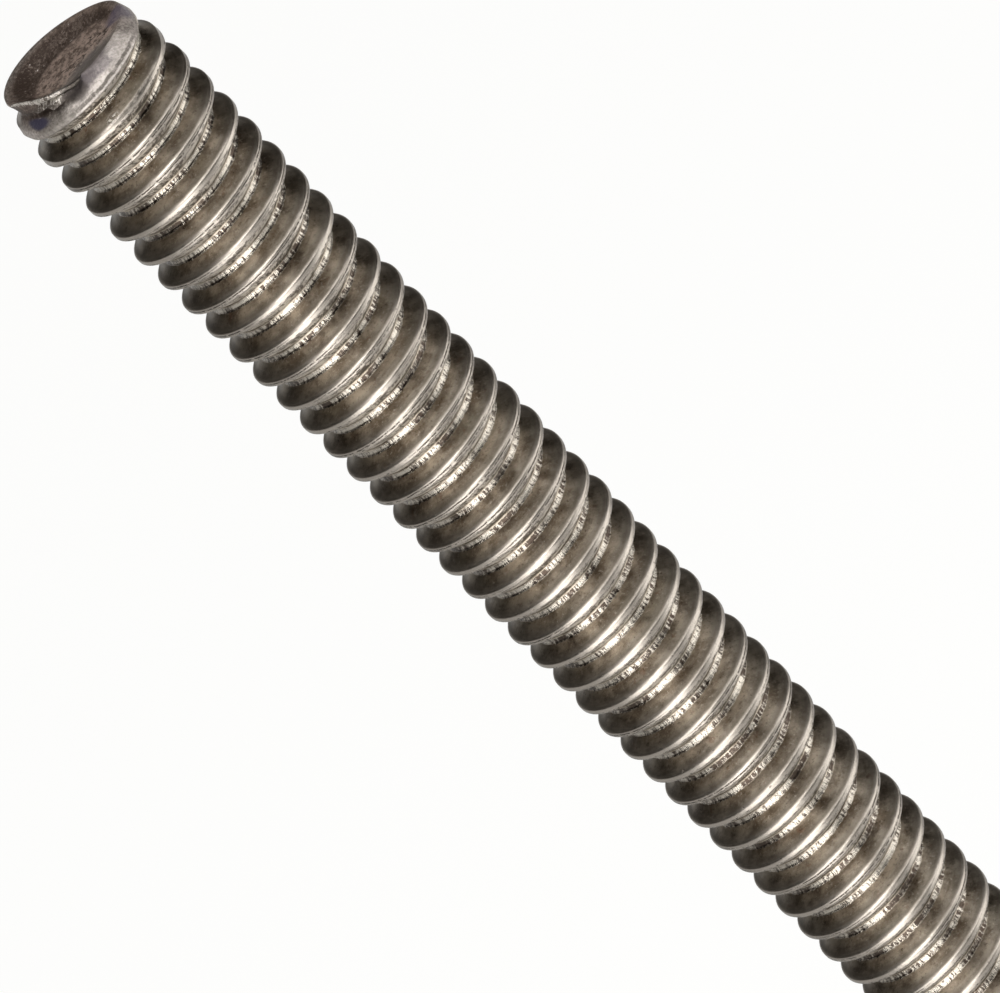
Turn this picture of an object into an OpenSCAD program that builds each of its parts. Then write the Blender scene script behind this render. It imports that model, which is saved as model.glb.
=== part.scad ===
// Threaded rod: a short length of quarter-inch steel rod, threaded from end to end.
// One solid. It stands on its plain-cut foot with its axis along +Z, and the origin
// is the middle of the foot. The top end is sheared off, with a slow lead-in taper.
// The thread is right-handed, with one start.

/* [Rod] */
// Length from the foot to the sheared end
rod_length = 76.2; // [38.1:1.27:95.25]
// Diameter over the thread's crests
major_d = 6.18; // [5:0.01:8]

/* [Thread] */
// Distance from one turn of the thread to the next
pitch = 1.27; // [0.8:0.01:1.8]
// Width of the flat crest along the rod
crest_w = 0.23; // [0.1:0.01:0.35]
// Width of the flat root along the rod
root_w = 0.24; // [0.1:0.01:0.35]
// Angle between the two flanks of the groove
thread_angle = 60; // [50:1:70]
// Direction in which the groove runs out through the sheared end
run_out_angle = 270; // [0:5:355]

/* [Ends] */
// How far the crests have sunk, in radius, at the sheared end
taper_drop = 0.49; // [0.05:0.01:1.2]
// Length over which the crests rise from the sheared end to full height
taper_length = 2.9; // [0.6:0.1:6]
// Height and width of the chamfer around the foot
foot_chamfer = 0.3; // [0.1:0.05:0.8]

/* [Fineness] */
// Flat faces that the whole thread may be made of
face_budget = 11800; // [6000:100:12400]

/* [Hidden] */

steel = [0.42, 0.39, 0.35];

// the flanks share what crest and root leave of the pitch, and their slope gives the depth
flank_w = (pitch - crest_w - root_w) / 2;
flank_slope = tan(thread_angle / 2);

major_r = major_d / 2;
minor_r = major_r - flank_w / flank_slope;
sheared_r = major_r - taper_drop;

// corners of the profile over one pitch, as [height above the crest's middle, radius]
profile = [
    [-crest_w / 2, major_r],
    [crest_w / 2, major_r],
    [crest_w / 2 + flank_w, minor_r],
    [crest_w / 2 + flank_w + root_w, minor_r],
];
corners = len(profile);

// each turn is cut into equal steps around the axis, two faces to each strip
turns = ceil(rod_length / pitch);
steps = min(48, floor(face_budget / (2 * corners * turns)));
step_angle = 360 / steps;

// the helix is set so that its root meets the sheared end at run_out_angle
crest_height_at_zero = rod_length - pitch / 2 - pitch * run_out_angle / 360;

// rows of corners reach past both ends, and are then cut back to them
first_turn = -2 - ceil(crest_height_at_zero / pitch);
last_turn = 2 + ceil((rod_length - crest_height_at_zero) / pitch);
rows = corners * (last_turn - first_turn);

// Height of corner number row on the column at this step
function corner_height(step, row) =
    crest_height_at_zero
    + pitch * (first_turn + floor(row / corners) + step / steps)
    + profile[row % corners][0];

// Radius of the endless thread at an angle and a height
function thread_radius(angle, height) =
    let (turn = (height - crest_height_at_zero) / pitch - angle / 360,
         from_crest = pitch * abs(turn - round(turn)))
    max(minor_r, min(major_r, major_r - (from_crest - crest_w / 2) / flank_slope));

// Largest radius that the taper and the foot's chamfer leave at a height
function end_limit(height) = min(
    sheared_r + (major_r - sheared_r) * (rod_length - height) / taper_length,
    major_r - foot_chamfer + height);

// The corner as a point, cut back to the end faces, the taper and the chamfer
function corner_point(step, row) =
    let (angle = step * step_angle,
         free_height = corner_height(step, row),
         height = max(0, min(rod_length, free_height)),
         thread_r = height == free_height ? profile[row % corners][1] : thread_radius(angle, height),
         r = min(thread_r, end_limit(height)))
    [r * cos(angle), r * sin(angle), height];

// Index of a corner. The column after the last is the first one, one turn higher
function corner_index(step, row) =
    step < steps ? step * (rows + 1) + row : corner_index(0, row + corners);

// One cell of the thread's surface, as two triangles
function cell(step, row) =
    let (low = corner_index(step, row), high = corner_index(step, row + 1),
         next_low = corner_index(step + 1, row), next_high = corner_index(step + 1, row + 1))
    [[low, high, next_high], [low, next_high, next_low]];

function is_face(points, f) =
    points[f[0]] != points[f[1]] && points[f[1]] != points[f[2]] && points[f[2]] != points[f[0]];

module threaded_rod() {
    surface_points = [
        for (step = [0 : steps - 1]) for (row = [0 : rows]) corner_point(step, row)
    ];
    foot_centre = len(surface_points);
    top_centre = foot_centre + 1;
    points = concat(surface_points, [[0, 0, 0], [0, 0, rod_length]]);

    sides = [
        for (step = [0 : steps - 1])
            for (row = [0 : rows - 1 - (step == steps - 1 ? corners : 0)])
                for (face = cell(step, row))
                    if (is_face(points, face)) face
    ];
    ends = [
        for (step = [0 : steps - 1])
            for (face = [
                [foot_centre, corner_index(step, 0), corner_index(step + 1, 0)],
                [top_centre, corner_index((step + 1) % steps, rows), corner_index(step, rows)],
            ]) face
    ];
    color(steel)
        polyhedron(points = points, faces = concat(sides, ends));
}

threaded_rod();
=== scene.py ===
# %% [markdown]
# # A threaded rod
#
# The object is one piece: a short length of plain steel rod with a right-hand thread rolled
# along all of it. It stands on its square-cut foot. The other end, at the top, was sheared off,
# and the thread tapers and runs out there.
#
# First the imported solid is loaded. It is the fixed frame: it says where the rod is and how
# big it is, and the surface made below stands for it in the picture.

import math

import bmesh
import bpy
import numpy as np
from mathutils import Matrix, Vector


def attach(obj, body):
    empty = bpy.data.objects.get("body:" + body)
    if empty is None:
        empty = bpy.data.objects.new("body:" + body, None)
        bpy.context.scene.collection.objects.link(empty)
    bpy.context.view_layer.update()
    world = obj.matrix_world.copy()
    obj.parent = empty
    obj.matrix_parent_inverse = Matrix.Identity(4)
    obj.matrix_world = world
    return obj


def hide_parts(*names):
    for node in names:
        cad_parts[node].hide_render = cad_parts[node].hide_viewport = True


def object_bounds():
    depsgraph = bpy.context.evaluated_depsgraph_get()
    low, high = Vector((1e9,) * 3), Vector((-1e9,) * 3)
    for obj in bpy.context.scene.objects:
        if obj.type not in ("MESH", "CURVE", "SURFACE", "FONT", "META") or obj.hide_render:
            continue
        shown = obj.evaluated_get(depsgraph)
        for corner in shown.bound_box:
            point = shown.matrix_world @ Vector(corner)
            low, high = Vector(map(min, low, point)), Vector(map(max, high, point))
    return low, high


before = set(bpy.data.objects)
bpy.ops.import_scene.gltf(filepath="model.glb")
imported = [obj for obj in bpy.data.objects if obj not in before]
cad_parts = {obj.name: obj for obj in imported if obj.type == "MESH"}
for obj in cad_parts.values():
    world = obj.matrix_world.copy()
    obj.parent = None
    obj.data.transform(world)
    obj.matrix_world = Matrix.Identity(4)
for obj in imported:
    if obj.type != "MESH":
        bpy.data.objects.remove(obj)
cad_low, cad_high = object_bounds()

MM = 0.001
LENGTH = cad_high.z - cad_low.z
CREST_R = (cad_high.x - cad_low.x) / 2
print(f"the rod is {LENGTH / MM:.1f} mm long and {2 * CREST_R / MM:.2f} mm over the crests")

# %% [markdown]
# ## The thread's profile
#
# A thread is one ridge wound round the rod. Every size across the ridge goes with the pitch, the
# distance from one turn to the next, so the profile is written in pitches: height above the
# crest's line, and depth below the crest. Rolling squeezes the metal up between two dies, which
# leaves the shoulder on one side of the crest rounder than the other. So the profile is five
# corners with a radius each, and a curve between a corner's two tangent points stands for the
# radius.

# %% Profile
PITCH = 1.27 * MM
DEPTH = 0.54
CREST_LOW, CREST_TOP = -0.125, 0.02
SHOULDER, SHOULDER_DEPTH = 0.068, 0.05
ROOT_LOW, ROOT_TOP = 0.34, 0.535
CREST_ROUND, SHOULDER_ROUND = 0.07, 0.26
ROOT_ROUND, UNDER_ROUND = 0.10, 0.05
MID_FLANK = (ROOT_TOP - 1 + CREST_LOW) / 2
COLUMNS = 80


def rounded(before, corner, after, radius, count):
    """Curve round a corner: start(1-t)^2 + corner 2t(1-t) + end t^2, between its tangent points."""
    before, corner, after = map(np.array, (before, corner, after))
    into = (corner - before) / np.linalg.norm(corner - before)
    out = (after - corner) / np.linalg.norm(after - corner)
    reach = radius * math.tan(math.acos(np.dot(into, out)) / 2)
    start, end = corner - into * reach, corner + out * reach
    t = np.linspace(0, 1, count)[:, None]
    return start * (1 - t) ** 2 + corner * 2 * t * (1 - t) + end * t ** 2


low_root, low_crest = (ROOT_TOP - 1, DEPTH), (CREST_LOW, 0)
top_crest, shoulder, top_root = (CREST_TOP, 0), (SHOULDER, SHOULDER_DEPTH), (ROOT_LOW, DEPTH)
far_root, next_crest = (ROOT_TOP, DEPTH), (CREST_LOW + 1, 0)
PROFILE = np.concatenate([
    [(MID_FLANK, DEPTH / 2)],
    rounded(low_root, low_crest, top_crest, CREST_ROUND, 4),
    rounded(low_crest, top_crest, shoulder, CREST_ROUND, 5),
    rounded(top_crest, shoulder, top_root, SHOULDER_ROUND, 3),
    rounded(shoulder, top_root, far_root, ROOT_ROUND, 3),
    rounded(top_root, far_root, next_crest, UNDER_ROUND, 3),
])
print(f"{len(PROFILE)} points across the ridge and {COLUMNS} columns round the rod")

# %% [markdown]
# ## The sheared end
#
# Shears pushed the metal over as they cut it, so the end is no longer round, and the thread
# tapers up to it, quickly in front and slowly at the sides and back. This could be sculpted by
# hand. Here each shape is a smooth function of the side of the rod it is on, because a few
# cosines and S-curves of the angle are all it takes to make one side differ from another. Sides
# are in degrees round from the front towards +X.

# %% End shapes
FRONT = math.radians(-90)
RUN_OUT = 0.473  # pitches from the last crest up to the sheared end, at the front
CREST_Z = LENGTH - PITCH * (RUN_OUT + (math.tau + FRONT) / math.tau)
FOOT_CHAMFER = 0.3 * MM


def smooth(x):
    """The S-shaped curve 3x^2 - 2x^3 between 0 and 1."""
    x = np.clip(x, 0, 1)
    return x * x * (3 - 2 * x)


def from_side(angle, side):
    """Degrees round the rod from one of its sides: angle less side, wrapped to -180 to 180."""
    return np.mod(np.degrees(angle - FRONT) - side + 180, 360) - 180


def facing(angle, side, times=1):
    """cos(times * (angle - side)): 1 on that side of the rod, repeated so many times round."""
    return np.cos(times * np.radians(from_side(angle, side)))


def sheared_radius(angle):
    """Radius of the sheared end in crest radii: 0.825 + 0.031 cos(a) + 0.036 cos(2b) + 0.027 cos(3c)."""
    waves = 0.031 * facing(angle, -163) + 0.036 * facing(angle, 44, 2) + 0.027 * facing(angle, -28, 3)
    return CREST_R * (0.825 + waves)


def envelope(angle, height):
    """Largest radius at a height: start + (R - start)(1 - exp(-drop / rise)), and the foot's chamfer."""
    rise = CREST_R * (0.05 + 0.36 * smooth((np.abs(from_side(angle, 0)) - 42) / 45))
    start = sheared_radius(angle)
    taper = start + (CREST_R - start) * (1 - np.exp((height - LENGTH) / rise))
    return np.minimum(taper, CREST_R - FOOT_CHAMFER + height)


radii = sheared_radius(np.linspace(0, math.tau, COLUMNS)) / MM
print(f"the sheared end is {radii.min():.2f} to {radii.max():.2f} mm from the axis to its rim")

# %% [markdown]
# ## The last turn
#
# From the front round to the back the pushed metal rolled over into a round shoulder, and filled
# the last groove. At the left the groove stayed open and scraped, with painted shade in it, and the
# edge over it was pushed down across it as a tongue. Each of these is a mask: an S-curve of the
# side times an S-curve of the height, which is measured in pitches over the last crest so that the
# mask climbs with the helix.

# %% The last turn


def over_last_crest(angle, height):
    """Pitches over the last crest, whose height is the end's less RUN_OUT plus a pitch a turn.

    Turns are counted from the front, and the last one starts a quarter turn to its left.
    """
    last_crest = LENGTH + PITCH * ((from_side(angle, 90) + 90) / 360 - RUN_OUT)
    return (height - last_crest) / PITCH


def filled(angle, height):
    """1 where the last groove was filled: above the last crest, from the front round to the back."""
    return smooth((from_side(angle, 90) + 92) / 26) * smooth(over_last_crest(angle, height) / 0.10)


def tongue(angle, height):
    """1 left of the front, where the edge over the last groove was pushed down and out across it.

    An S-curve in and one out along it, times one above its edge, which drops towards the front.
    """
    past = from_side(angle, 0)
    along = smooth((past + 80) / 20) * smooth((-3 - past) / 6)
    edge = 0.33 + 0.20 * smooth((-25 - past) / 35)
    return along * smooth((over_last_crest(angle, height) - edge) / 0.05)


def bruised(angle, height):
    """1 where the shears scraped the last turn: an S-curve up at its crest, times one along it."""
    above = smooth((over_last_crest(angle, height) + 0.15) / 0.06)
    return above * smooth((from_side(angle, 90) + 195) / 20)


def shade_in_last_groove(angle, height):
    """Painted shade, 0.95 - 0.30 tongue, in the open part of the last groove: where it is bruised and
    not filled.
    """
    above = smooth((over_last_crest(angle, height) - 0.19) / 0.07)
    still_open = 1 - smooth((from_side(angle, 90) + 92) / 26)
    return (0.95 - 0.30 * tongue(angle, height)) * bruised(angle, height) * above * still_open


print(f"at the front the last crest is {RUN_OUT * PITCH / MM:.2f} mm under the sheared end")

# %% [markdown]
# ## The thread's surface
#
# The surface is a grid. Going up a column crosses the ridge turn after turn, and going along a
# row follows the helix round. The last column is the first one, a whole turn higher, so the
# grid closes on itself when its doubled points are merged. Rows that reach past an end are
# pulled back to it, where they fall together.

# %% Thread surface
FIRST_TURN = -2 - math.ceil(CREST_Z / PITCH)
LAST_TURN = 2 + math.ceil((LENGTH - CREST_Z) / PITCH)


def profile_depth(across):
    """Depth below the crest at any height across: straight lines between the profile's points."""
    start = PROFILE[0, 0]
    x = np.append(PROFILE[:, 0], start + 1)
    y = np.append(PROFILE[:, 1], PROFILE[0, 1])
    return np.interp(start + np.mod(across - start, 1.0), x, y)


def thread_surface():
    """Points of the thread: radius = R - depth, height = crest's + pitch (turn + along + across)."""
    turns = LAST_TURN - FIRST_TURN
    turn = np.repeat(np.arange(FIRST_TURN, LAST_TURN), len(PROFILE))
    across = np.tile(PROFILE[:, 0], turns)
    depth = np.tile(PROFILE[:, 1], turns)
    along = np.arange(COLUMNS + 1)[:, None] / COLUMNS
    angle = math.tau * np.mod(along, 1.0)
    free_height = CREST_Z + PITCH * (turn + across + along)
    height = np.clip(free_height, 0, LENGTH)
    cut_depth = profile_depth((height - CREST_Z) / PITCH - angle / math.tau)
    depth = np.where(height == free_height, depth, cut_depth)
    depth = depth * (1 - filled(angle, height)) * (1 - 0.8 * tongue(angle, height))
    radius = np.minimum(CREST_R - depth * PITCH, envelope(angle, height))
    return np.stack([radius * np.cos(angle), radius * np.sin(angle), height], -1)


def grid_faces(columns, rows, offset=0):
    """Four-sided faces of a grid listed column by column: each point with its right and upper ones."""
    index = offset + np.arange(columns * rows).reshape(columns, rows)
    a, b, c, d = index[:-1, :-1], index[1:, :-1], index[1:, 1:], index[:-1, 1:]
    return np.stack([a, b, c, d], -1).reshape(-1, 4)


thread = thread_surface()
print(f"the thread's grid has {thread.shape[0]} columns of {thread.shape[1]} points")

# %% [markdown]
# ## The lip
#
# At the left the edge of the sheared end was folded up and over into a thin, frayed lip. A lip
# could be a tube laid on the edge, but a real one grows out of the metal. So the outer rings of
# the end face are bent into it: going inwards they run round a small circle, the bead.

# %% Lip
LIP_END = 0.88
LIP_RINGS = np.linspace(1, LIP_END, 9)


def lip(angle):
    """1 along the last groove, where its upper edge is folded over: an S-curve in and one out."""
    past = from_side(angle, 0)
    return smooth((past + 92) / 6) * smooth((-1 - past) / 6)


def rolled_lip(angle, share):
    """The lip as steps out and up from the edge: c + s (cos a, sin a), with a growing inwards.

    s is the bead's radius. The middle c is moved out, and lies s under the lip's top.
    """
    past = from_side(angle, 0)
    size = 0.007 + 0.033 * smooth((past + 60) / 35)
    raised = 0.10 * smooth((past + 100) / 35)
    top = raised - 0.065 * smooth((past + 65) / 55) - 0.03 * smooth((past + 20) / 18)
    out = 0.035 * smooth((past + 25) / 20)
    a = np.radians(-30 + 220 * (1 - share) / (1 - LIP_END))
    return out + size * np.cos(a), top + size * (np.sin(a) - 1)


def frayed(angle):
    """1 along the part of the lip that is frayed downwards: an S-curve in and one out."""
    past = from_side(angle, 0)
    return smooth((past + 62) / 30) * smooth((-10 - past) / 12)


all_round = np.linspace(0, math.tau, 361)
print(f"the lip runs {np.count_nonzero(lip(all_round) > 0.5)} degrees round the edge")

# %% [markdown]
# ## The two end faces
#
# Inside the lip the metal tore into a shallow cup with a steep wall, darkened by painted shade. An
# end face could be a disc fitted to the rod, but here it is the thread's own last row of points,
# shrunk in rings to the middle and moved up or down. Its rim then fits whatever shape the shears
# gave it.

# %% Ends
SHARES = np.concatenate([LIP_RINGS, np.linspace(0.85, 0, 18)])


def wall_width(angle):
    """Width of the cup's wall in shares of the radius: 0.24, and 0.18 more at the back left."""
    return 0.24 + 0.18 * smooth(facing(angle, -160))


def shaded_torn_wall(angle, share):
    """Painted shade: 1 on the cup's wall, 0.6 on its rim, and 0 at the front: S-curves of the share and
    the side.
    """
    wall = smooth((share - 0.88 + wall_width(angle)) / 0.10) * (1 - 0.40 * smooth((share - 0.84) / 0.08))
    return wall * smooth((np.abs(from_side(angle, 15)) - 40) / 50)


def cupped(angle, share):
    """The end's height: a floor -0.085 R (1 - share cos(angle - 30)), times the wall's S-curve."""
    floor = -0.085 * (1 - share * facing(angle, 30))
    return CREST_R * floor * smooth((0.97 - share) / wall_width(angle))


def cap_surface(outline, height):
    """Rings that shrink from an outline to its middle, moved up by height(angle, share)."""
    angle = np.arctan2(outline[:, 1], outline[:, 0])
    ring = outline[:, None, :] * SHARES[None, :, None]
    ring[..., 2] = outline[:, None, 2] + height(angle[:, None], SHARES[None, :])
    return ring


def add_lip(ring):
    """Move the outer rings onto the rolled lip, except the first, which joins the thread."""
    rows = slice(1, len(LIP_RINGS))
    angle = np.arctan2(ring[:, :1, 1], ring[:, :1, 0])
    amount = lip(angle)
    outwards, upwards = rolled_lip(angle, SHARES[None, rows])
    reach = np.hypot(ring[:, :1, 0], ring[:, :1, 1]) + CREST_R * outwards
    bead = np.stack([reach * np.cos(angle), reach * np.sin(angle), LENGTH + CREST_R * upwards], -1)
    ring[:, rows] += amount[..., None] * (bead - ring[:, rows])
    return ring


def plain(angle, share):
    """The height of a flat end: 0 everywhere."""
    return 0 * angle * share


top_cap = add_lip(cap_surface(thread[:, -1], cupped))
foot_cap = cap_surface(thread[:, 0], plain)[:, ::-1]
print(f"the cup is {(LENGTH - top_cap[..., 2].min()) / MM:.2f} mm deep")
print(f"the lip stands {(top_cap[..., 2].max() - LENGTH) / MM:.2f} mm over the end")

# %% [markdown]
# ## What the finish will need
#
# Marks from rolling follow the helix, so each face of the thread gets its place in a map: turns
# along the helix, and pitches across the ridge. Each point also gets three marks: how far the shears
# bruised it, how much painted shade darkens it, and how far it is part of the frayed lip. They
# could be painted on by hand, but the functions that made the shapes already know where each mark
# belongs.

# %% Map and marks


def helix_map(grid):
    """Map places of the face corners: U is turns along, V is pitches over the crest's line."""
    columns, rows = grid.shape[:2]
    turn = np.repeat(np.arange(FIRST_TURN, LAST_TURN), len(PROFILE))[None, :-1]
    along = np.arange(columns)[:, None] / COLUMNS
    left, right = turn + along[:-1], turn + along[1:]
    height = (grid[..., 2] - CREST_Z) / PITCH
    u = np.stack([left, right, right, left], -1)
    v = np.stack([height[:-1, :-1], height[1:, :-1], height[1:, 1:], height[:-1, 1:]], -1) - u
    return np.stack([u, v], -1).reshape(-1, 4, 2)


def thread_marks(grid):
    """Marks of each point of the thread: bruised and lip from the shears, and dark for painted shade,
    each 0 to 1.
    """
    angle, height = np.arctan2(grid[..., 1], grid[..., 0]), grid[..., 2]
    # The second mark is painted shade in the open part of the last groove.
    marks = np.stack([bruised(angle, height), shade_in_last_groove(angle, height), 0 * angle], -1)
    at_end = height > LENGTH - 1e-9
    marks[..., 0] = np.where(at_end, 1, marks[..., 0])
    marks[..., 2] = 0.5 * frayed(angle) * np.clip(1 - (LENGTH - height) / (0.22 * PITCH), 0, 1)
    return marks


def cap_marks(grid):
    """The same for the sheared face: all of it is bruised, and painted shade darkens its wall and the
    lip's outer face.
    """
    angle = np.arctan2(thread[:, -1:, 1], thread[:, -1:, 0])
    share = np.broadcast_to(SHARES, grid.shape[:2])
    # Painted shade on the cup's wall, at half strength on the lip's outer face, and in the groove under
    # the lip at the edge.
    dark = shaded_torn_wall(angle, share)
    outer_face = share > 0.955
    dark = np.maximum(dark, 0.5 * lip(angle) * outer_face)
    dark[:, 0] = np.maximum(shade_in_last_groove(angle[:, 0], LENGTH), 0.5 * lip(angle[:, 0]))
    burr = lip(angle) * np.clip(1.3 - np.abs(share - 0.95) / 0.045, 0, 1)
    burr[:, 0] = 0.5 * frayed(angle[:, 0])
    return np.stack([1 + 0 * dark, dark, burr], -1)


print(f"{np.count_nonzero(thread_marks(thread)[..., 0] > 0.5)} points of the thread are bruised")

# %% [markdown]
# ## One closed mesh
#
# The thread and its two end faces are three grids that share their edge points. So they need no
# joining by hand: merging doubled points closes the skin, and counting the edges that lack a
# second face proves it.

# %% Build the rod
STEEL, CUT = 0, 1


def make_rod(name, parts):
    """One closed mesh from grids that share edges, each listed with its material, map and marks."""
    points, faces, slots, places, marks, offset = [], [], [], [], [], 0
    for grid, slot, place, mark in parts:
        face = grid_faces(*grid.shape[:2], offset)
        offset += grid.shape[0] * grid.shape[1]
        points.append(grid.reshape(-1, 3))
        faces.append(face)
        slots.append(np.full(len(face), slot))
        places.append(np.zeros((len(face), 4, 2)) if place is None else place)
        marks.append(np.zeros((len(points[-1]), 3)) if mark is None else mark.reshape(-1, 3))
    mesh = bpy.data.meshes.new(name)
    mesh.from_pydata(np.concatenate(points), [], np.concatenate(faces))
    mesh.polygons.foreach_set("material_index", np.concatenate(slots))
    mesh.uv_layers.new(name="helix").data.foreach_set("uv", np.concatenate(places).ravel())
    attribute = mesh.attributes.new("marks", "FLOAT_VECTOR", "POINT")
    attribute.data.foreach_set("vector", np.concatenate(marks).ravel())
    work = bmesh.new()
    work.from_mesh(mesh)
    bmesh.ops.remove_doubles(work, verts=work.verts, dist=1e-7)
    bmesh.ops.dissolve_degenerate(work, edges=work.edges, dist=1e-8)
    bmesh.ops.recalc_face_normals(work, faces=work.faces)
    open_edges = sum(1 for edge in work.edges if len(edge.link_faces) != 2)
    work.to_mesh(mesh)
    work.free()
    mesh.shade_smooth()
    mesh.calc_loop_triangles()
    print(f"{name}: {len(mesh.loop_triangles)} triangles, {open_edges} open edges")
    return mesh


rod = bpy.data.objects.new("rolled_rod", make_rod("rolled_rod", [
    (thread, STEEL, helix_map(thread), thread_marks(thread)),
    (top_cap, STEEL, None, cap_marks(top_cap)),
    (foot_cap, CUT, None, None),
]))
bpy.context.scene.collection.objects.link(rod)
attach(rod, "root")
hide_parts("threaded_rod")

# %% [markdown]
# ## Writing materials as sums
#
# A material is a graph of small steps. Wrapping a socket in a class lets the steps be written as
# ordinary sums, and one method adds every other kind of node. That keeps a long recipe readable.

# %% Shader helpers


class Shade:
    """A socket in a material, with the usual operators."""

    def __init__(self, tree, socket):
        self.tree = tree
        self.socket = socket

    def node(self, kind, settings=None, out=0, **inputs):
        """Add a node: settings are its properties, inputs are its sockets by name or _number."""
        node = self.tree.nodes.new(kind)
        for key, value in (settings or {}).items():
            setattr(node, key, value)
        for key, value in inputs.items():
            place = int(key[1:]) if key[0] == "_" else key.replace("_", " ")
            link(self.tree, node.inputs[place], value)
        return Shade(self.tree, node.outputs[out])

    def parts(self):
        """The three numbers of a vector."""
        split = self.node("ShaderNodeSeparateXYZ", None, Vector=self).socket.node
        return [Shade(self.tree, socket) for socket in split.outputs]

    def math(self, operation, other=0.0):
        """One sum on numbers, named as Blender names it."""
        return self.node("ShaderNodeMath", {"operation": operation}, _0=self, _1=other)

    def vector(self, operation, other=(0, 0, 0), out=0):
        """One sum on vectors. out is 1 where the answer is a number."""
        return self.node("ShaderNodeVectorMath", {"operation": operation}, out=out, _0=self, _1=other)

    def __add__(self, other):
        return self.math("ADD", other)

    def __radd__(self, other):
        return self.math("ADD", other)

    def __sub__(self, other):
        return self.math("SUBTRACT", other)

    def __rsub__(self, other):
        return self * -1 + other

    def __mul__(self, other):
        return self.math("MULTIPLY", other)

    def __rmul__(self, other):
        return self.math("MULTIPLY", other)

    def __truediv__(self, other):
        return self.math("DIVIDE", other)

    def most(self, other):
        """The larger of two numbers."""
        return self.math("MAXIMUM", other)

    def line(self, width, soft):
        """1 within width of zero, fading to 0 a little farther off."""
        return self.math("ABSOLUTE").step(width + soft, width)

    def step(self, low, high):
        """A smooth step from 0 at low to 1 at high, or from 1 to 0 where high is below low."""
        return self.node("ShaderNodeMapRange", {"interpolation_type": "SMOOTHSTEP"},
                         _0=self, _1=low, _2=high, _3=0.0, _4=1.0)

    def noise(self, scale, detail, rough, stretch=(1, 1, 1), seed=0.0):
        """Noise between 0 and 1 around 0.5, on this vector times stretch, moved by seed."""
        place = self.node("ShaderNodeMapping", None, Vector=self, Location=(seed,) * 3, Scale=stretch)
        return place.node("ShaderNodeTexNoise", None, Vector=place,
                          Scale=scale, Detail=detail, Roughness=rough)

    def mix(self, low, high):
        """Colour low where this is 0, colour high where it is 1."""
        return self.node("ShaderNodeMix", {"data_type": "RGBA", "clamp_factor": True}, out=2,
                         _0=self, _6=low, _7=high)

    def blend(self, low, high):
        """Number low where this is 0, number high where it is 1."""
        return self.node("ShaderNodeMix", {"clamp_factor": True}, _0=self, _2=low, _3=high)


def link(tree, socket, value):
    """Set a socket from a number, a colour or another socket."""
    if isinstance(value, Shade):
        tree.links.new(value.socket, socket)
    elif isinstance(value, tuple) and len(value) == 3 and socket.type == "RGBA":
        socket.default_value = (*value, 1)
    else:
        socket.default_value = value


def new_material(name):
    """A material with its shader node, and a tool that adds other nodes to its tree."""
    material = bpy.data.materials.new(name)
    material.use_nodes = True
    tree = material.node_tree
    return material, tree.nodes["Principled BSDF"], Shade(tree, None)


print("helpers: Shade, link and new_material")

# %% [markdown]
# ## Where the marks of rolling are
#
# Rolling leaves its marks in bands along the thread. The crest is rubbed bare, the shoulder beside
# it catches light, the underside is rough, and the root is torn where the dies' edges pressed.
# Each band is a mask: a smooth step up and one down, measured across the ridge on the helix map.
# A little noise along the helix moves the bands' edges, because no real edge runs quite true.

# %% Bands of the thread
rolled, shader, tool = new_material("rolled steel")
shader.inputs["Metallic"].default_value = 1.0
shader.inputs["Specular Tint"].default_value = (0.7, 0.7, 0.7, 1)
place = tool.node("ShaderNodeTexCoord", None, out=3)
helix = tool.node("ShaderNodeUVMap", {"uv_map": "helix"})
across = helix.parts()[1]
# dark is the painted shade mark: on the cup's wall, on the lip's outer face and in the open last groove.
sheared, dark, burr = tool.node("ShaderNodeAttribute", {"attribute_name": "marks"}, out=1).parts()

wobble = helix.noise(1.0, 3, 0.6, stretch=(30, 0, 0)) - 0.5
ragged = helix.noise(1.0, 3, 0.7, stretch=(120, 2, 0), seed=5.3) - 0.5
above_edge = (across + wobble * 0.05).step(CREST_LOW - 0.03, CREST_LOW + 0.01)
shoulder = above_edge * across.step(0.23, 0.09)
above_edge = (across + ragged * 0.12).step(CREST_LOW - 0.03, CREST_LOW - 0.01)
crest = above_edge * (across + wobble * 0.06).step(0.11, 0.03) * (1 - sheared)
under = (across + wobble * 0.02).step(ROOT_TOP - 0.01, ROOT_TOP + 0.02)
under = under.most(across.step(CREST_LOW, CREST_LOW - 0.04))
root = (across + ragged * 0.10).step(ROOT_LOW - 0.03, ROOT_LOW)
root = root * (across + ragged * 0.10).step(ROOT_TOP - 0.04, ROOT_TOP - 0.08) * (1 - sheared)
print("bands: crest, shoulder, underside and root")

# %% [markdown]
# ## The colour of rolled steel
#
# Plain steel is never one colour. A thin brown oxide lies on it in clouds, with a few rusty and
# olive stains, and fine grain and pits all over. So the flanks mix a dark and a light brown by
# noise of several sizes, and the crest shows greyer metal drawn out in hairs along the thread.
# Fine noise keeps the surface from looking airbrushed, and slow noise makes each turn differ.

# %% Oxide and bare metal
OXIDE_DARK, OXIDE_LIGHT = (0.111, 0.089, 0.066), (0.325, 0.286, 0.233)
SHOULDER_OXIDE = (0.085, 0.074, 0.060)
OLIVE, RUST = (0.16, 0.145, 0.11), (0.14, 0.078, 0.052)
GRAIN_DARK, GRAIN_LIGHT = (0.05, 0.04, 0.03), (0.42, 0.38, 0.33)
BARE_DARK, BARE_LIGHT = (0.20, 0.178, 0.152), (0.32, 0.289, 0.254)
UNDER_DARK, UNDER_LIGHT = (0.12, 0.10, 0.08), (0.52, 0.47, 0.41)
PIT = (0.04, 0.028, 0.022)

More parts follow.
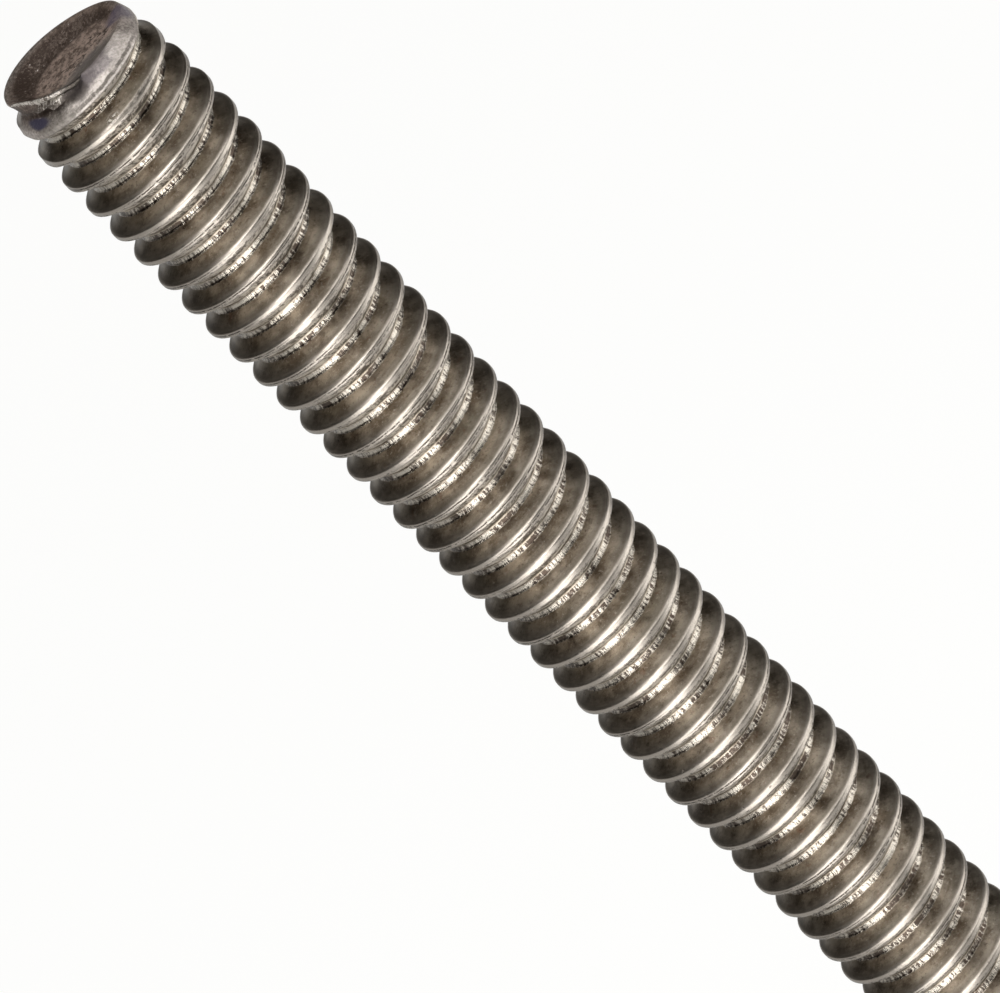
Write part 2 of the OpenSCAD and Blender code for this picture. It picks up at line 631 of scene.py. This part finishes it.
cloud = place.noise(1100, 5, 0.62)
grain = place.noise(9000, 3, 0.65, seed=3.1)
fine = place.noise(20000, 3, 0.7, seed=14.0)
streak = helix.noise(1.0, 3, 0.6, stretch=(9, 26, 0), seed=2.2)
hair = helix.noise(1.0, 4, 0.75, stretch=(16, 60, 0), seed=12.0)
olive = place.noise(420, 2, 0.5, seed=7.7).step(0.56, 0.78)
rust = place.noise(2100, 3, 0.6, seed=11.0).step(0.63, 0.72)
pit = place.noise(4700, 2, 0.6, seed=17.0).step(0.70, 0.76)

worn = (cloud * 0.75 + streak * 0.13 + fine * 0.12).step(0.37, 0.63)
colour = worn.mix(OXIDE_DARK, OXIDE_LIGHT)
colour = (olive * 0.6).mix(colour, OLIVE)
colour = (rust * 0.5).mix(colour, RUST)
colour = (grain.step(0.56, 0.72) * 0.6).mix(colour, GRAIN_LIGHT)
colour = (grain.step(0.44, 0.30) * 0.6).mix(colour, GRAIN_DARK)
colour = (shoulder * 0.72).mix(colour, SHOULDER_OXIDE)
bare = (hair * 0.6 + fine * 0.4).step(0.34, 0.66).mix(BARE_DARK, BARE_LIGHT)
colour = crest.mix(colour, bare)
print(f"oxide and bare metal: {len(rolled.node_tree.nodes)} nodes so far")

# %% [markdown]
# ## The torn root and the seams
#
# At the bottom of the groove the metal tore into short bright and dark flakes that lie across
# it. On the crest the two flows of metal met without joining quite, which leaves a broken dark
# seam. Both are noise on the helix map, stretched: quick along the thread for the flakes, and a
# thin wavering line for the seam, cut up by two more noises so that it comes and goes.

# %% Root and seams
TORN_DARK, TORN_LIGHT = (0.042, 0.031, 0.024), (0.335, 0.305, 0.262)
SEAM = (0.035, 0.028, 0.022)

patch = helix.noise(1.0, 2, 0.5, stretch=(14, 0.6, 0), seed=9.1)
flake = helix.noise(1.0, 4, 0.8, stretch=(130, 3.0, 0), seed=1.7)
torn = (flake + (patch - 0.5) * 0.55).step(0.44, 0.55)
rough_metal = (torn * 0.5 + grain * 0.5).step(0.3, 0.7)
colour = under.mix(colour, rough_metal.mix(UNDER_DARK, UNDER_LIGHT))
colour = root.mix(colour, torn.mix(TORN_DARK, TORN_LIGHT))

broken = helix.noise(1.0, 4, 0.8, stretch=(105, 4, 0), seed=4.4)
open_seam = helix.noise(1.0, 1, 0.5, stretch=(1.7, 0, 0), seed=6.2).step(0.46, 0.54)
seam = (across + wobble * 0.05 + 0.035).math("ABSOLUTE") + (broken - 0.5) * 0.12
seam = seam.step(0.030, 0.014) * open_seam * broken.step(0.40, 0.48)
hairline = (across + wobble * 0.08 + 0.095).line(0.006, 0.012) * broken.step(0.48, 0.58)
seams = seam.most(hairline) * (1 - sheared)
colour = seams.mix(colour, SEAM)
colour = (pit * 0.6).mix(colour, PIT)
print(f"root, seams and pits: {len(rolled.node_tree.nodes)} nodes so far")

# %% [markdown]
# ## The sheared steel
#
# The torn floor is granular and reddish brown, with a few cracks. The wall round it is painted
# nearly black in its depth, as painted shade, with painted glints on it. Where the metal was pushed
# over it is paler, and scraped in rings. The lip is the brightest: thin metal folded and frayed.
# The marks stored on the mesh say which is which, and noise on the marks' edges frays them.

# %% Sheared steel colour
FLOOR_DARK, FLOOR_LIGHT = (0.076, 0.055, 0.043), (0.29, 0.222, 0.183)
SCRAPED_DARK, SCRAPED_LIGHT = (0.13, 0.111, 0.098), (0.30, 0.265, 0.24)
WALL_SHADE_DARK, WALL_SHADE_LIGHT = (0.026, 0.016, 0.011), (0.11, 0.084, 0.069)
LIP_DARK, LIP_LIGHT = (0.11, 0.085, 0.07), (0.56, 0.52, 0.47)
CRACK, GLINT = (0.03, 0.020, 0.015), (0.55, 0.50, 0.46)

flat = place.vector("MULTIPLY", (1, 1, 0))
radius = flat.vector("LENGTH", out=1)
outwards = flat.vector("NORMALIZE")
rings = outwards.vector("MULTIPLY", (3, 3, 0)).vector(
    "ADD", tool.node("ShaderNodeCombineXYZ", None, Z=radius * 7000))
scrape = rings.noise(1.0, 3, 0.65)
fringe = outwards.noise(20, 3, 0.7, seed=21.0)
speck = place.noise(9000, 3, 0.7, seed=4.0)
grit = place.noise(4600, 4, 0.8, stretch=(1.0, 0.5, 1), seed=15.0)
stain = place.noise(700, 2, 0.5, seed=8.0)

pushed = radius.step(0.72 * CREST_R, 0.88 * CREST_R)
crack = (place.noise(1300, 3, 0.7, stretch=(0.7, 1.2, 1), seed=6.0) - 0.5).line(0.015, 0.020)
crack = crack * stain.step(0.54, 0.60) * (1 - pushed)
mottle = pushed.blend(grit, scrape * 0.2 + speck * 0.8)
mottle = (mottle + (stain - 0.5) * 0.2).step(0.38, 0.60)
torn_colour = mottle.mix(pushed.mix(FLOOR_DARK, SCRAPED_DARK), pushed.mix(FLOOR_LIGHT, SCRAPED_LIGHT))
torn_colour = crack.mix(torn_colour, CRACK)
# Painted shade on the cup's wall, the lip's outer face and the open last groove, mottled by noise.
in_wall = (speck * 0.8 + fringe * 0.2 + (stain - 0.5) * 0.5).step(0.44, 0.72)
# GLINT paints glints: speckled bright points on the painted shade of the wall.
wall_shade_and_glints = speck.step(0.67, 0.72).mix(in_wall.mix(WALL_SHADE_DARK, WALL_SHADE_LIGHT), GLINT)
torn_colour = dark.mix(torn_colour, wall_shade_and_glints)
tatters = fringe * 0.5 + speck * 0.5
frayed_lip = (burr * 1.2 + (tatters - 0.5) * 2.2).step(0.36, 0.56)
torn_colour = frayed_lip.mix(torn_colour, tatters.step(0.42, 0.51).mix(LIP_DARK, LIP_LIGHT))
colour = sheared.mix(colour, torn_colour)
print(f"sheared steel: {len(rolled.node_tree.nodes)} nodes so far")

# %% [markdown]
# ## Stains, knocks and painted light
#
# The heat of shearing left blue and purple patches, like those on steel that has been warmed.
# Some metal was knocked into flakes just under the end. Painted shade darkens the hollow beyond the
# lip's end and a furrow in the pushed-over metal, and a painted highlight brightens the ridge beside
# that furrow. These are single marks, so each is one ragged spot: the distance from a point, pushed
# in and out by slow noise.

# %% Spots


def spot(x, y, z, size, flatter=1.0, ragged=0.6):
    """1 in a ragged spot: a smooth step down on distance / size, moved by slow noise.

    Its middle is in millimetres from the middle of the sheared end.
    """
    away = place.vector("SUBTRACT", (x * MM, y * MM, LENGTH + z * MM))
    away = away.vector("MULTIPLY", (1, 1, flatter)).vector("LENGTH", out=1)
    return (away / (size * MM) + (stain - 0.5) * ragged).step(1.0, 0.55)


BLUE, PURPLE, LILAC = (0.030, 0.028, 0.055), (0.085, 0.072, 0.11), (0.15, 0.135, 0.145)
GREEN_GREY, HOLLOW_SHADE = (0.085, 0.080, 0.066), (0.030, 0.023, 0.020)
FURROW_SHADE, KNOCKED, GLEAM = (0.08, 0.07, 0.06), (0.60, 0.57, 0.52), (0.45, 0.41, 0.375)

left_band = spot(-1.7, -2.3, -0.5, 1.3, 1.5) * sheared * (1 - dark)
front_right = spot(0.6, -3.0, -0.45, 2.2, 1.0, 0.3)
# A furrow in the relief of the pushed-over metal at the front right, darkened by painted shade.
shaded_furrow = (across + wobble * 0.12 + ragged * 0.08 - 0.01).line(0.030, 0.035) * front_right
shaded_furrow = shaded_furrow * (0.4 + broken.step(0.36, 0.54) * 0.6)
# Painted highlight: a paler, more polished colour along the pushed-over ridge and a spot beside it.
gleam = front_right * (across + wobble * 0.15).step(0.23, 0.13)
gleam = gleam.most(spot(1.65, -2.38, -0.25, 0.70, 1.0, 1.2)) * sheared * (1 - shaded_furrow)
knocked = spot(-0.35, -3.0, -1.62, 0.40, 1.0, 2.0) * speck.step(0.48, 0.54)
knocked = knocked.most(spot(0.22, -3.02, -2.35, 0.16))
colour = (left_band * 0.5).mix(colour, GREEN_GREY)
colour = (spot(-2.50, -1.57, -0.54, 0.95, 6.0) * 0.9).mix(colour, BLUE)
colour = (spot(2.25, -0.6, 0.0, 0.75) * 0.6).mix(colour, PURPLE)
colour = (spot(0.5, -2.2, 0.0, 1.2, 1.0, 1.5) * 0.45).mix(colour, LILAC)
colour = (gleam * (0.4 + mottle * 0.4)).mix(colour, GLEAM)
# Painted shade in the hollow beyond the lip's right end.
colour = (spot(-0.50, -2.72, -0.16, 0.60, 1.2) * 0.85).mix(colour, HOLLOW_SHADE)
colour = (shaded_furrow * 0.8).mix(colour, FURROW_SHADE)
colour = knocked.mix(colour, KNOCKED)
link(shader.id_data, shader.inputs["Base Color"], colour)
print(f"stains and knocks: {len(rolled.node_tree.nodes)} nodes so far")

# %% [markdown]
# ## Gloss and relief
#
# Rolling polishes steel, so the flanks and the crest are satin, and the flakes in the root nearly
# bright. The shoulder, the underside and the torn end are duller, and the oxide on the torn end
# is partly no longer metal to the light. The relief is only the part too small for the mesh:
# flakes, hairs, grain, seams and pits.

# %% Rolled steel gloss and relief
rough = shoulder.blend(0.33, 0.47)
rough = crest.blend(rough, 0.33)
rough = under.blend(rough, 0.62)
rough = root.blend(rough, 0.16) + (grain - 0.5) * 0.25 + (cloud - 0.5) * 0.15
rough = sheared.blend(rough, dark.blend(0.50, 0.60) - frayed_lip * 0.14)
link(shader.id_data, shader.inputs["Roughness"], rough)
link(shader.id_data, shader.inputs["Metallic"], 1 - sheared * (1 - frayed_lip) * 0.45)

RELIEF = 0.02 * MM

relief = root * flake * 1.5 + crest * hair * 0.17 + (cloud - 0.5) * 0.5
relief = relief + (grain - 0.5) * 0.30 + (fine - 0.5) * 0.30 - seams * 0.8 - pit * 0.4
torn_relief = grit * 2.6 + speck * 0.8 + scrape * pushed * 0.6 - crack * 1.6 + burr * fringe * 3.0
relief = sheared.blend(relief, torn_relief) - shaded_furrow * 1.6 + knocked * speck * 2.0
bump = tool.node("ShaderNodeBump", None, Strength=0.7, Distance=RELIEF, Height=relief)
link(shader.id_data, shader.inputs["Normal"], bump)
print(f"{rolled.name}: {len(rolled.node_tree.nodes)} nodes")

# %% [markdown]
# ## The cut foot
#
# The foot is out of sight under the rod, and was sawn square. A saw leaves fine strokes that all
# run one way, so one noise is drawn out along them, and a second one stains the cut in clouds.

# %% Cut steel
CUT_DARK, CUT_LIGHT = (0.19, 0.172, 0.152), (0.43, 0.395, 0.355)

cut, cut_shader, tool = new_material("cut steel")
cut_shader.inputs["Metallic"].default_value = 1.0
place = tool.node("ShaderNodeTexCoord", None, out=3)
stroke = place.noise(1.0, 4, 0.7, stretch=(500, 12000, 0), seed=1.3)
blotch = place.noise(900, 4, 0.6, seed=5.0)
colour = (stroke * 0.6 + blotch * 0.4).step(0.36, 0.64).mix(CUT_DARK, CUT_LIGHT)
link(cut_shader.id_data, cut_shader.inputs["Base Color"], colour)
link(cut_shader.id_data, cut_shader.inputs["Roughness"], (blotch - 0.5) * 0.3 + 0.36)
bump = tool.node("ShaderNodeBump", None, Strength=0.6, Distance=RELIEF, Height=stroke)
link(cut_shader.id_data, cut_shader.inputs["Normal"], bump)
for material in (rolled, cut):
    rod.data.materials.append(material)
print("materials:", [material.name for material in rod.data.materials])

# %% [markdown]
# ## The floor
#
# The rod stands on a wide pale floor. Seen straight or in a reflection the floor shines by itself
# at just about white, so it looks the same however the lamps stand. It does not light the rod that
# way, and a small share of plain surface is left in it to hold the rod's shadow.

# %% Floor
FLOOR_WIDTH = 6
SHINE, GLOW = 0.96, (1.0, 1.0, 0.99)

bpy.ops.mesh.primitive_plane_add(size=FLOOR_WIDTH)
floor = bpy.context.object
floor.name = "floor"
pale, pale_shader, tool = new_material("pale floor")
pale_shader.inputs["Base Color"].default_value = (0.9, 0.9, 0.9, 1)
pale_shader.inputs["Specular IOR Level"].default_value = 0.0
ray = tool.node("ShaderNodeLightPath").socket.node.outputs
seen = Shade(tool.tree, ray["Is Camera Ray"]).most(Shade(tool.tree, ray["Is Glossy Ray"]))
seen = seen.most(Shade(tool.tree, ray["Is Transmission Ray"]))
glow = tool.node("ShaderNodeEmission", None, Color=GLOW, Strength=1.0)
plain_surface = Shade(tool.tree, pale_shader.outputs[0])
surface = tool.node("ShaderNodeMixShader", None, _0=seen * SHINE, _1=plain_surface, _2=glow)
link(tool.tree, tool.tree.nodes["Material Output"].inputs["Surface"], surface)
floor.data.materials.append(pale)
print(f"the floor is {floor.dimensions.x:.0f} m wide")

# %% [markdown]
# ## The lamps
#
# Polished curves show the lamps as highlights, so the lamps' shapes matter more than their
# power. Two upright strips stand close to the rod, one at the front left and one at the right, and
# give the crests and roots their bright stretches with a dark gap between. Softboxes high above
# the same sides light the flanks, and a weak one overhead fills in. A lamp's power is set from how
# bright its face should look, so its size can be changed without changing its look.

# %% Lamps
MIDDLE = Vector((0, 0, 0.66 * LENGTH))
CLOSE, HIGH, TOP = 0.040, 0.22, 0.3  # metres from the rod


def direction(side, up):
    """Unit vector: side is degrees round the rod from the front, up is degrees of elevation."""
    side, up = math.radians(side), math.radians(up)
    return Vector((math.sin(side) * math.cos(up), -math.cos(side) * math.cos(up), math.sin(up)))


def softbox(name, place, target, width, height, brightness):
    """A rectangle of even light. Its power is brightness times pi times its area."""
    data = bpy.data.lights.new(name, "AREA")
    data.shape = "RECTANGLE"
    data.size = width
    data.size_y = height
    data.energy = brightness * math.pi * width * height
    lamp = bpy.data.objects.new(name, data)
    lamp.location = place
    lamp.rotation_mode = "QUATERNION"
    lamp.rotation_quaternion = (Vector(place) - Vector(target)).to_track_quat("Z", "Y")
    bpy.context.scene.collection.objects.link(lamp)
    print(f"{name}: {data.energy:.2f} W")


def strip(name, side, distance, width, height, brightness):
    """An upright softbox that stands beside the rod and faces it."""
    place = direction(side, 0) * distance
    place.z = height / 2
    softbox(name, place, (0, 0, place.z), width, height, brightness)


strip("front_strip", -25, CLOSE, width=0.038, height=0.075, brightness=4.9)
strip("side_strip", 78, CLOSE, width=0.036, height=0.075, brightness=2.6)
place = MIDDLE + direction(-25, 60) * HIGH
softbox("high_front", place, MIDDLE, width=0.06, height=0.20, brightness=13.8)
place = MIDDLE + direction(74, 56) * HIGH
softbox("high_side", place, MIDDLE, width=0.06, height=0.20, brightness=5.2)
place = MIDDLE + direction(180, 80) * TOP
softbox("overhead", place, MIDDLE, width=0.10, height=0.12, brightness=2.0)

# %% [markdown]
# ## The room
#
# The room is light near the horizon and dark above. The steel then has something dark to show
# between the lamps, which is what makes it look like metal.

# %% World
HORIZON, CEILING = (0.74, 0.72, 0.69), (0.053, 0.046, 0.038)
DARK_FROM = 0.20  # the sine of the elevation

world = bpy.data.worlds.new("studio")
bpy.context.scene.world = world
world.use_nodes = True
tool = Shade(world.node_tree, None)
up = tool.node("ShaderNodeTexCoord", None, out=0).parts()[2]
room = up.step(0.0, DARK_FROM).mix(HORIZON, CEILING)
link(tool.tree, tool.tree.nodes["Background"].inputs["Color"], room)
print("the room is dark from", round(math.degrees(math.asin(DARK_FROM))), "degrees up")

# %% [markdown]
# ## The camera
#
# The camera looks down on the rod from the front with a long lens, which keeps the far turns
# nearly as large as the near ones. It is rolled well over, so the upright rod runs across the
# picture from corner to corner, and the lower turns are outside it.

# %% Camera
ELEVATION = math.radians(24.93)
ROLL = math.radians(-44.43)
AIM = Vector((0.12 * MM, 0, LENGTH - 23.32 * MM))
DISTANCE = 329.45 * MM
LENS, SENSOR = 337.6, 36

camera_data = bpy.data.cameras.new("camera")
camera_data.lens = LENS
camera_data.sensor_width = SENSOR
camera = bpy.data.objects.new("camera", camera_data)
bpy.context.scene.collection.objects.link(camera)
bpy.context.scene.camera = camera
towards_camera = Vector((0, -math.cos(ELEVATION), math.sin(ELEVATION)))
camera.location = AIM + towards_camera * DISTANCE
upright = towards_camera.to_track_quat("Z", "Y")
camera.rotation_mode = "QUATERNION"
camera.rotation_quaternion = upright @ Matrix.Rotation(ROLL, 4, "Z").to_quaternion()
bpy.context.scene.view_settings.view_transform = "Standard"
print("the camera is at", [round(c / MM, 1) for c in camera.location], "mm")
